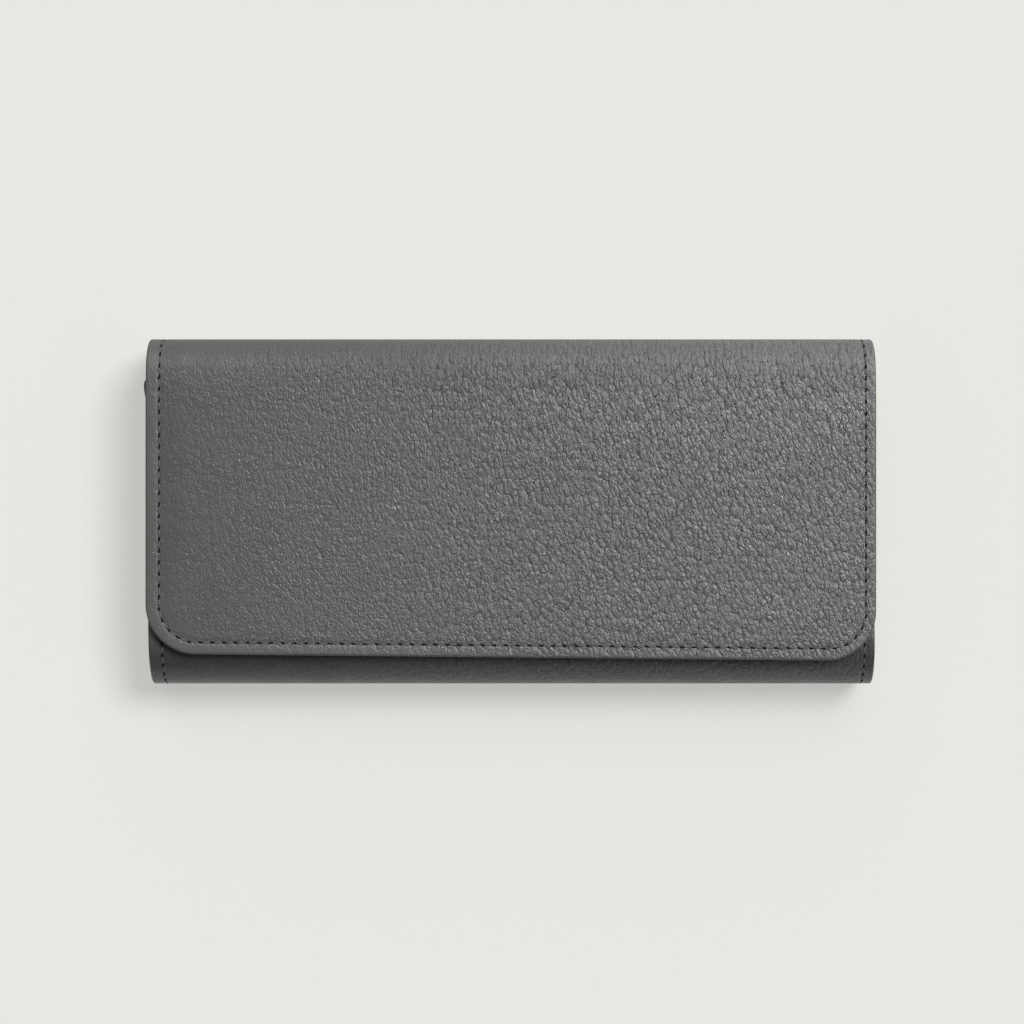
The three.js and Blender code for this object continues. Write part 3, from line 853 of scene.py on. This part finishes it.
RIM_RINGS = (0.04, 0.15, 0.32, 0.5, 0.8)  # distances from the cut edge, close on the rounded rim
SEAM_RINGS = (2.3, 2.7, 3.1, 3.5, 3.9, 4.5)
COVER_COLUMNS = np.arange(-84, 85, 7)


def make_cover():
    """The whole cover as one sheet, with a seam on both faces."""
    patch = sheet_patch(
        cover_outline(0), RIM_RINGS + SEAM_RINGS, cover_rows(), COVER_COLUMNS,
        cover_outer, cover_inner, place_cover,
    )

    def on_outside(x, s):
        return np.full(len(x), STITCH_GROOVE)

    def on_inside(x, s):
        return cover_thick(s) - STITCH_GROOVE

    seam = np.concatenate([SEAM, SEAM[:1]])
    add_stitches(patch, seam, on_outside, place_cover)
    add_stitches(patch, seam, on_inside, place_cover, side=-1)
    part_cover(patch)


# Name, stretch of s, the two bodies, start and end of the bend between them, and replaced nodes
COVER_PARTS = [
    ("cover_front", 0, S_BOTTOM, "coin_pocket", "front", BOTTOM_MIDDLE, FRONT_BEND_START,
     ["front_cover", "front_board", "front_lining"]),
    ("cover_bottom", S_BOTTOM, S_BACK, "back", "coin_pocket", BACK_BEND_START, BOTTOM_MIDDLE, []),
    ("cover_back", S_BACK, S_LOW_MIDDLE, "back", "low_fold", LOW_FOLD_START, LOW_FOLD_MIDDLE,
     ["back_cover", "back_board", "back_lining"]),
    ("cover_spine_low", S_LOW_MIDDLE, S_SPINE, "low_fold", "spine", LOW_FOLD_MIDDLE, LOW_FOLD_END,
     ["low_fold_cover", "low_fold_lining", "spine_cover", "spine_lining"]),
    ("cover_spine_high", S_SPINE, S_HIGH_MIDDLE, "spine", "high_fold", HIGH_FOLD_START,
     HIGH_FOLD_MIDDLE, ["high_fold_cover", "high_fold_lining"]),
    ("cover_flap", S_HIGH_MIDDLE, S_END + 1, "high_fold", "flap", HIGH_FOLD_MIDDLE, HIGH_FOLD_END,
     ["flap_cover", "flap_board", "flap_lining"]),
]


def part_cover(patch):
    """Parts the cover across its length, builds each part and hides the CAD nodes it replaces."""
    middle = np.array([patch.flat[f, 1].mean() for f in patch.faces])
    for name, low, high, body, next_body, start, end, nodes in COVER_PARTS:
        chosen = np.flatnonzero((middle >= low) & (middle < high))
        piece = patch.part(chosen).build(name, COVER_MATERIALS)
        if nodes:
            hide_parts(*nodes)
        near, far = (np.array([0, *point]) * MM for point in (start, end))
        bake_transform(piece)


make_cover()


# Inside: card slots, gussets, coin pocket and zip


def rectangle(x0, x1, s0, s1, corner):
    """Outline of a rectangle with rounded corners, counter-clockwise."""
    middles = ((x1 - corner, s1 - corner), (x0 + corner, s1 - corner),
               (x0 + corner, s0 + corner), (x1 - corner, s0 + corner))
    points = []
    for quarter, middle in enumerate(middles):
        angle = np.radians(np.linspace(0, 90, 6) + 90 * quarter)
        points.append(np.array(middle) + corner * np.stack([np.cos(angle), np.sin(angle)], axis=1))
    return drop_repeats(np.concatenate(points))


def steps_between(low, high, step):
    """Cuts from low to high, at about a step apart, without the ends."""
    return np.linspace(low, high, int((high - low) / step) + 2)[1:-1]


TOP_CUTS = np.array([5, 4.6, 4.2, 3.8, 2.6, 1.6, 1.3, 1])  # distances below a panel's upper edge


def flat_panel(low, high, facing, corner, radius, press=None, lift=None):
    """A flat sheet in a CAD node's box, parallel to XY, whose outer face looks along facing * Z.

    press gives the depth of lines pressed into the outer face and lift how far it bulges.
    Returns the patch and the function that places a point on it.
    """
    face = high.z if facing > 0 else low.z
    plain, inner = rounded_faces(high.z - low.z, radius)

    def place(x, s, depth):
        raised = lift(x, s) if lift else 0.0
        return np.stack([x, s, face + facing * (raised - depth)], axis=1)

    def outer(x, s, edge):
        return plain(x, s, edge) + (press(x, s) if press else 0.0)

    outline = rectangle(low.x, high.x, low.y, high.y, corner)
    rings = (0.3 * radius, radius)
    near_top = high.y - TOP_CUTS
    rows = np.concatenate([steps_between(low.y, near_top[0], 5), near_top])
    columns = steps_between(low.x, high.x, 7.5)
    return sheet_patch(outline, rings, rows, columns, outer, inner, place), place


PANEL_SEAM_EDGE = 5.0  # given as a seam's distance to the edge on flat sheets


def on_face(x, s):
    """The unpressed outer face of a flat sheet."""
    return np.zeros(len(x))


def finish_piece(piece, slot, body, *nodes):
    """Lets a piece ride on its body and puts it in place of CAD nodes; the finish given as slot is
    not used.
    """
    if nodes:
        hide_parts(*nodes)
    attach(piece, body)


SLOT_CREASE = 1.3  # distance of the pressed line from the upper edge of a card slot
SLOT_CREASE_DEPTH = 0.09
SLOT_BOW = 0.35  # the slots' edges stand out a little between their seams
SLOT_SEAMS = (-88.3, 0.0, 88.3)
SLOT_HALF = 45.0


def make_card_slots():
    """The leather strips that hold the cards, two columns wide, on the back and the front."""
    for side, facing in (("back", 1), ("front", -1)):
        names = sorted(n for n in frame["nodes"] if n.startswith(side + "_card_strip_"))
        for name, next_name in zip(names, names[1:] + [None]):
            low, high = box_mm(name)
            covered = box_mm(next_name)[1].y if next_name else low.y

            def crease(x, s, top=high.y):
                return SLOT_CREASE_DEPTH * hump(SLOT_CREASE, 0.32, top - s)

            def bow(x, s, top=high.y):
                arch = 1 - (np.abs(x) / SLOT_HALF - 1) ** 2
                return SLOT_BOW * np.clip(arch, 0, 1) * smooth(top - 9, top, s)

            patch, place = flat_panel(low, high, facing, 1.2, 0.18, crease, bow)
            for x in SLOT_SEAMS:
                path = [(x, covered + 0.6), (x, high.y - 2.2)]
                add_stitches(patch, path, on_face, place, edge=PANEL_SEAM_EDGE)
            piece = patch.build(name + "_leather", LINING_MATERIALS)
            finish_piece(piece, "smooth_leather", side, name)


COIN_SEAM_INSET = 7.0  # the seam along a coin wall's top ends short of the gussets
COIN_SEAM_DROP = 2.0
TURNED_EDGE = 4.2  # width of the leather turned over at the top


def make_coin_walls():
    """The leather walls of the coin pocket, with a turned and stitched top edge."""
    for name, facing in (("coin_back_wall", -1), ("coin_front_wall", 1)):
        low, high = box_mm(name)

        def turned_edge(x, s, top=high.y):
            return 0.1 * hump(TURNED_EDGE, 0.4, top - s)

        patch, place = flat_panel(low, high, facing, 2.0, 0.3, turned_edge)
        seam_y = high.y - COIN_SEAM_DROP
        seam = [(low.x + COIN_SEAM_INSET, seam_y), (high.x - COIN_SEAM_INSET, seam_y)]
        add_stitches(patch, seam, on_face, place, edge=PANEL_SEAM_EDGE)
        piece = patch.build(name + "_leather", LINING_MATERIALS)
        finish_piece(piece, "smooth_leather", "coin_pocket", name)


def softened(points, rounds=3):
    """An open line of points with its corners cut round."""
    points = np.asarray(points, float)
    for _ in range(rounds):
        first = 0.75 * points[:-1] + 0.25 * points[1:]
        second = 0.25 * points[:-1] + 0.75 * points[1:]
        middle = np.stack([first, second], axis=1).reshape(-1, 2)
        points = np.concatenate([points[:1], middle, points[-1:]])
    return points


GUSSET_THICK = 0.4
GUSSET_FLANGE = 4.0


def make_gussets():
    """Leather folded inwards at the four sides of the banknote rooms, with a flange on each wall.

    A riser is the height at which the leather leaves the wall below or above.
    """
    for room, body, next_body, low_riser, high_riser in (
        ("back", "back", "coin_pocket", 1.8, 0.2),
        ("front", "coin_pocket", "front", 0.2, 1.4),
    ):
        for side, sign in (("left", -1), ("right", 1)):
            node = f"{side}_{room}_gusset"
            low, high = box_mm(node)
            fold, edge = sorted((abs(low.x), abs(high.x)))
            riser = edge - GUSSET_FLANGE
            middle = (low.z + low_riser + high.z - high_riser) / 2
            line = FoldLine([softened([
                (edge, low.z), (riser, low.z), (riser, low.z + low_riser), (fold, middle),
                (riser, high.z - high_riser), (riser, high.z), (edge, high.z),
            ])])

            def place(s, y, depth, line=line, sign=sign):
                x, z = line.at(s, depth)
                return np.stack([sign * x, y, z], axis=1)

            outline = rectangle(0, line.s[-1], low.y, high.y, 0.8)
            cuts = steps_between(0, line.s[-1], 0.6)
            rows = steps_between(low.y, high.y, 8)
            faces = rounded_faces(GUSSET_THICK, 0.18)
            patch = sheet_patch(outline, (0.06, 0.18), rows, cuts, *faces, place)
            piece = patch.build(node + "_leather", LINING_MATERIALS)
            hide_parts(node)
            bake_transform(piece)


BAG_THICK = 0.3
BAG_INSET = 0.6  # at each side
BAG_MOUTH = 1.1  # the cloth reaches this far up behind the zip tapes
BAG_RIPPLE = 0.16


def make_bag():
    """The coin pocket's cloth bag: one strip, folded at the bottom and closed at the sides."""
    low, high = box_mm("coin_bag")
    middle = (low.z + high.z) / 2
    turn = (high.z - low.z) / 2 - 0.1
    top = high.y + BAG_MOUTH
    sides = [
        [(top, middle + way * (turn - 0.5)), (high.y, middle + way * (turn - 0.45)),
         (high.y - 4, middle + way * turn), (low.y + turn, middle + way * turn)]
        for way in (1, -1)
    ]
    line = FoldLine([
        softened(sides[0]),
        bend((low.y + turn, middle), turn, 90, 270),
        softened(sides[1][::-1]),
    ])
    length = line.s[-1]

    def place(x, s, depth):
        y, z = line.at(s, depth)
        slack = smooth(0, 25, np.minimum(s, length - s))
        waves = np.sin(0.31 * x + 0.05 * s) + 0.7 * np.sin(0.83 * x - 0.11 * s)
        ripple = BAG_RIPPLE * slack * waves
        open_share = 1 - 0.92 * smooth(0.84 * high.x, high.x, np.abs(x))
        inside = np.sign(middle - z) * (np.abs(ripple) + 0.05)
        return np.stack([x, y, middle + (z + inside - middle) * open_share], axis=1)

    outline = rectangle(low.x + BAG_INSET, high.x - BAG_INSET, 0, length, 1.0)
    fold_start, fold_end = length / 2 - 8, length / 2 + 8
    rows = np.concatenate([
        steps_between(0, fold_start, 4),
        steps_between(fold_start, fold_end, 0.9),
        steps_between(fold_end, length, 4),
    ])
    columns = steps_between(low.x, high.x, 2.6)
    faces = rounded_faces(BAG_THICK, 0.1)
    patch = sheet_patch(outline, (0.1, 0.6), rows, columns, *faces, place)
    bag = patch.build("coin_bag_cloth", [BAG_CLOTH] * 3)
    finish_piece(bag, "bag_fabric", "coin_pocket", "coin_bag")


def add_block(patch, low, high, chamfer):
    """Adds a small block to a patch, with its upper edges along Y cut off."""
    (x0, y0, z0), (x1, y1, z1) = low, high
    levels = ((y0, 0.0), (y1 - chamfer, 0.0), (y1, chamfer))
    points = [(x, y, z) for y, c in levels
              for x, z in ((x0 + c, z0 + c), (x0 + c, z1 - c), (x1 - c, z1 - c), (x1 - c, z0 + c))]
    faces = [[3, 2, 1, 0], [8, 9, 10, 11]]
    for ring in (0, 4):
        for k in range(4):
            n = (k + 1) % 4
            faces.append([ring + k, ring + n, ring + 4 + n, ring + 4 + k])
    points = np.array(points)
    patch.add(points, points, faces, [0] * len(faces))


TOOTH_PITCH = 1.25
TOOTH_LONG = 0.72
MESHED_LONG = 0.52  # of a tooth in the closed chain
MESHED_HALF = 0.95
MESHED_LEAN = 0.28  # teeth of the two rows lean to opposite sides


def make_teeth():
    """The two open rows of teeth."""
    for name, side in (("back", -1), ("front", 1)):
        low, high = box_mm(f"zip_teeth_{name}")
        patch = Patch()
        shift = 0 if side < 0 else TOOTH_PITCH / 2
        for x in np.arange(low.x + 0.3 + shift, high.x - TOOTH_LONG, TOOTH_PITCH):
            add_block(patch, (x, low.y + 0.1, low.z), (x + TOOTH_LONG, high.y - 0.05, high.z), 0.16)
        piece = patch.build(f"zip_teeth_{name}_metal", [METAL], flat_shading=True)
        finish_piece(piece, "zip_metal", "coin_pocket", f"zip_teeth_{name}")


def make_closed_zip():
    """The closed stretch of zip, from the bottom stop to the slider: meshed teeth and tape edges.
    """
    stop = box_mm("zip_bottom_stop")[1].x
    end = box_mm("zip_slider")[0].x - 0.05
    slide = next(joint for joint in frame["joints"] if joint["name"] == "zip_slide")
    left_at_limit = 1 - slide["range_m"][1] / MM / (end - stop)
    low, high = box_mm("zip_teeth_back")
    z_far = box_mm("zip_teeth_front")[1].z
    middle = (low.z + z_far) / 2
    teeth = Patch()
    for k, x in enumerate(np.arange(stop + 0.2, end - 0.5, TOOTH_PITCH / 2)):
        centre = middle + MESHED_LEAN * (-1) ** k
        block_low = (x, high.y - 1.0, centre - MESHED_HALF)
        block_high = (x + MESHED_LONG, high.y + 0.28, centre + MESHED_HALF)
        add_block(teeth, block_low, block_high, 0.14)
    chain = teeth.build("zip_closed_teeth", [METAL], flat_shading=True)

    def place(x, s, depth):
        arch = 0.1 * (1 - ((s - middle) / 2.4) ** 2)
        return np.stack([x, high.y + 0.16 + arch - depth, s], axis=1)

    tapes = Patch()
    columns = steps_between(stop, end, 6)
    faces = rounded_faces(0.24, 0.1)
    for near, far in ((low.z - 0.3, middle - 0.75), (middle + 0.75, z_far + 0.3)):
        outline = rectangle(stop, end, near, far, 0.15)
        part = sheet_patch(outline, (0.05, 0.12), [], columns, *faces, place)
        tapes.add(part.points, part.flat, part.faces, [0] * len(part.faces))
    edges = tapes.build("zip_closed_tape", [TAPE_WEAVE])
    for piece, slot in ((chain, "zip_metal"), (edges, "zip_tape")):
        finish_piece(piece, slot, "coin_pocket")
        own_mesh(piece)


def make_tapes():
    """The two woven tapes of the zip."""
    for name, facing in (("zip_tape_back", 1), ("zip_tape_front", -1)):
        low, high = box_mm(name)
        patch, _ = flat_panel(low, high, facing, 0.5, 0.12)
        piece = patch.build(name + "_weave", [TAPE_WEAVE] * 3)
        finish_piece(piece, "zip_tape", "coin_pocket", name)


SHARP_EDGE = math.radians(35)  # edges that turn by more than this are rounded


def bevelled_metal(node, width, body):
    """A CAD node's shape in metal, with its sharp edges rounded."""
    bm = bmesh.new()
    bm.from_mesh(frame["nodes"][node].data)
    bmesh.ops.remove_doubles(bm, verts=bm.verts, dist=1e-6)
    bmesh.ops.dissolve_limit(bm, angle_limit=math.radians(1), verts=bm.verts, edges=bm.edges)
    sharp = [e for e in bm.edges if e.is_manifold and e.calc_face_angle() > SHARP_EDGE]
    bmesh.ops.bevel(bm, geom=sharp, offset=width * MM, segments=2, profile=0.6, affect="EDGES")
    mesh = bpy.data.meshes.new(node + "_metal")
    bm.to_mesh(mesh)
    bm.free()
    mesh.materials.append(METAL)
    mesh.shade_smooth()
    mesh.set_sharp_from_angle(angle=math.radians(40))
    finish_piece(add_object(node + "_metal", mesh), "zip_metal", body, node)


def make_metalwork():
    """The zip's stops, slider and pull, and the finish of the hidden magnets."""
    for node in ("zip_top_stop_back", "zip_top_stop_front", "zip_bottom_stop"):
        bevelled_metal(node, 0.15, "coin_pocket")
    bevelled_metal("zip_slider", 0.22, "zip_slider")
    bevelled_metal("zip_pull", 0.2, "zip_pull")
    for name, node in frame["nodes"].items():
        if "magnet" in name:
            node.data.materials.clear()
            node.data.materials.append(METAL)


make_card_slots()
make_coin_walls()
make_gussets()
make_bag()
make_tapes()
make_teeth()
make_closed_zip()
make_metalwork()


# Studio


FLOOR_SIZE = 40  # half its width in metres
FLOOR_COLOUR = (0.797, 0.789, 0.758, 1)
FLOOR_GLOW = 0.58  # share of its own light where it is seen
LAMPS = [  # name, strength, width in degrees and the direction it shines from
    ("right_lamp", 2.7, 26, (0.55, 0.45, 1)),
    ("upper_lamp", 0.95, 55, (0, 1.15, 1)),
]
SURROUND_COLOUR = (1, 0.99, 0.95, 1)
SURROUND = 0.13  # strengths of the even light and the pale horizon
HORIZON = 0.8
HORIZON_FADE = (0.1, 0.19)  # heights between which the horizon fades out
FRAME_PIXELS = 1024
PHOTO_SCALE = 3.849  # pixels per millimetre on the flap
CAMERA_PLACE = (0.3, 0.0, 720)  # in millimetres
SENSOR = 36


def make_floor():
    """A pale floor. Seen straight on or in a reflection it is lightened, so its shadow is soft."""
    bm = bmesh.new()
    bmesh.ops.create_grid(bm, x_segments=1, y_segments=1, size=FLOOR_SIZE)
    mesh = bpy.data.meshes.new("floor")
    bm.to_mesh(mesh)
    bm.free()
    mat = Shader("floor")
    seen = mat.parts("LightPath")
    share = mat.math("MAXIMUM", seen["Is Camera Ray"], seen["Is Glossy Ray"])
    share = mat.math("MAXIMUM", share, seen["Is Transmission Ray"]) * FLOOR_GLOW
    paper = mat.node("BsdfDiffuse", {"Color": FLOOR_COLOUR})
    glow = mat.node("Emission", {"Color": FLOOR_COLOUR})
    both = mat.node("MixShader", {0: share, 1: paper, 2: glow})
    mat.put(mat.tree.nodes["Material Output"].inputs["Surface"], both)
    mesh.materials.append(mat.owner)
    add_object("floor", mesh)


def make_lights():
    """Two soft lamps and an even surround with a pale horizon."""
    for name, strength, angle, direction in LAMPS:
        light = bpy.data.lights.new(name, "SUN")
        light.energy = strength
        light.angle = math.radians(angle)
        lamp = add_object(name, light)
        lamp.rotation_mode = "QUATERNION"
        lamp.rotation_quaternion = Vector(direction).to_track_quat("Z", "Y")
    sky = Shader("surround", bpy.data.worlds.new("surround"), "Background")
    up = sky.parts("SeparateXYZ", {0: sky.parts("TexCoord")["Generated"]})["Z"]
    strength = sky.range(up, *HORIZON_FADE, HORIZON, SURROUND)
    bpy.context.scene.world = sky.finish(Color=SURROUND_COLOUR, Strength=strength)


def make_camera():
    """Straight down, as the photograph was taken."""
    data = bpy.data.cameras.new("camera")
    data.sensor_width = SENSOR
    data.lens = SENSOR * PHOTO_SCALE * (CAMERA_PLACE[2] - Z_TOP) / FRAME_PIXELS
    camera = add_object("camera", data)
    camera.location = Vector(CAMERA_PLACE) * MM
    bpy.context.scene.camera = camera


make_floor()
make_lights()
make_camera()
bpy.context.scene.view_settings.view_transform = "Standard"
